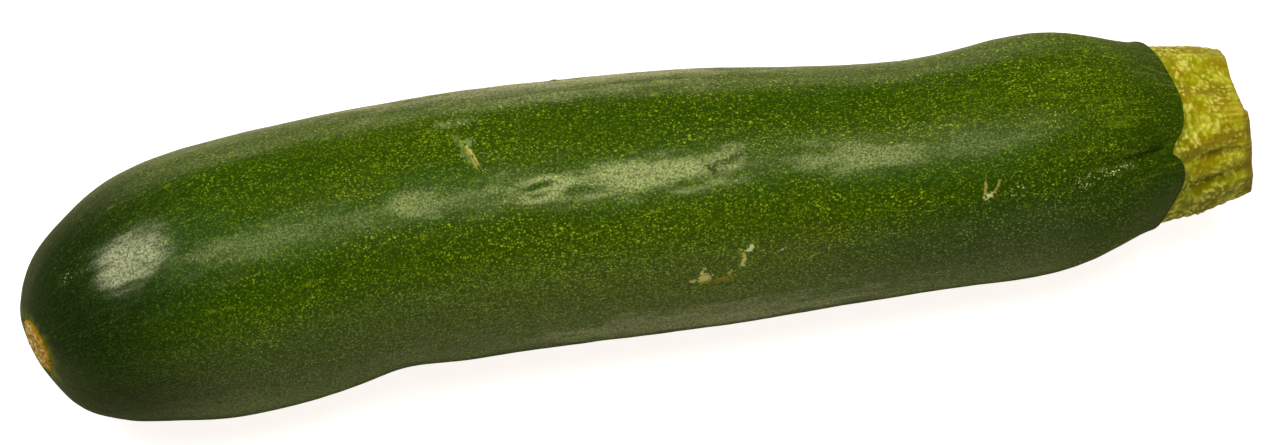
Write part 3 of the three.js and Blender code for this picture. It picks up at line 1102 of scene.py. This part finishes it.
# The wall's edges, as parts of a direction: backwards, upwards and to the right.
WALL_FRONT = (-0.1, 0.6)
WALL_TOP = (0.5, 0.36)
WALL_LEFT = (-0.75, -0.2)
LOW_TOP = (0.45, 0.2)

# Lamps: name, direction, width, height, tint.
SOFTBOXES = [
    ("overhead", (0.17, -0.24, 0.95), 0.8, 0.4, (0.98, 0.98, 0.42)),
    ("left", (-0.515, -0.04, 0.86), 0.52, 0.7, (0.98, 0.97, 0.56)),
]
SOFTBOX_DISTANCE = 1.35
SOFTBOX_RADIANCE = 10

CAMERA_TARGET = Vector((-0.9, -4.05, 21)) * MM
CAMERA_DISTANCE = 0.745
CAMERA_AZIMUTH = -12.8
CAMERA_ELEVATION = 50
CAMERA_LENS = 125
CAMERA_SENSOR = 36


def make_table():
    """Plain white paper, which gives the courgette only a dim, warm reflection."""
    clear_selection()
    bpy.ops.mesh.primitive_plane_add(size=TABLE_SIZE, location=(0, 0, 0))
    table = bpy.context.object
    table.name = table.data.name = "table"
    paper = Finish("paper")
    seen = paper.node("ShaderNodeLightPath", {}, {}, output="Is Camera Ray")
    sockets = {
        "Base Color": paper.mix(seen, PAPER_TINT, PAPER_SHADE),
        "Roughness": 0.9,
        "Specular IOR Level": 0,
        "Emission Color": paper.mix(seen, NO_GLOW, PAPER_GLOW),
        "Emission Strength": PAPER_GLOW_STRENGTH,
    }
    paper.show(paper.node("ShaderNodeBsdfPrincipled", {}, sockets))
    table.data.materials.append(paper.material)
    return table


def make_softbox(name, direction, width, height, tint):
    light = bpy.data.lights.new(name, "AREA")
    light.shape = "RECTANGLE"
    light.size = width
    light.size_y = height
    # A flat lamp's power for this radiance.
    light.energy = SOFTBOX_RADIANCE * width * height * math.pi
    light.color = tint
    lamp = bpy.data.objects.new(name, light)
    bpy.context.collection.objects.link(lamp)
    towards = Vector(direction).normalized()
    lamp.location = towards * SOFTBOX_DISTANCE
    lamp.rotation_euler = towards.to_track_quat("Z", "Y").to_euler()


def make_room():
    """Dark all round, apart from a warm white wall low down at the back."""
    room = Finish("room", kind="worlds")
    bpy.context.scene.world = room.material
    direction = room.node("ShaderNodeTexCoord", {}, {}, output="Generated")
    right, back, up = room.split(direction)
    wall = room.ease(back, *WALL_FRONT) * room.ease(up, *WALL_TOP) * room.ease(right, *WALL_LEFT)
    dim = room.mix(room.ease(up, *LOW_TOP), ROOM_DARK, ROOM_LOW)
    dim = room.mix(wall, dim, ROOM_WALL)
    seen = room.node("ShaderNodeLightPath", {}, {}, output="Is Camera Ray")
    glow = room.node("ShaderNodeBackground", {}, {"Color": room.mix(seen, dim, ROOM_WHITE)})
    room.node("ShaderNodeOutputWorld", {}, {"Surface": glow}, output=None)


def make_camera():
    data = bpy.data.cameras.new("camera")
    data.lens = CAMERA_LENS
    data.sensor_width = CAMERA_SENSOR
    camera = bpy.data.objects.new("camera", data)
    bpy.context.collection.objects.link(camera)
    turn, rise = math.radians(CAMERA_AZIMUTH), math.radians(CAMERA_ELEVATION)
    aside, ahead = math.sin(turn) * math.cos(rise), math.cos(turn) * math.cos(rise)
    back = Vector((aside, -ahead, math.sin(rise)))
    camera.location = CAMERA_TARGET + back * CAMERA_DISTANCE
    camera.rotation_euler = back.to_track_quat("Z", "Y").to_euler()
    bpy.context.scene.camera = camera


# ---- The whole scene ----


def finish_piece(piece, material, node):
    piece.data.materials.clear()
    piece.data.materials.append(material)
    clear_selection()
    piece.select_set(True)
    bpy.context.view_layer.objects.active = piece
    bpy.ops.object.shade_smooth()
    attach(piece, "root")
    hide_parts(node)


make_camera()
bpy.context.scene.view_settings.view_transform = "Standard"
finish_piece(make_fruit(), make_skin(), "fruit")
finish_piece(make_stem(), make_stem_rind(), "stem")
make_table()
make_room()
for softbox in SOFTBOXES:
    make_softbox(*softbox)
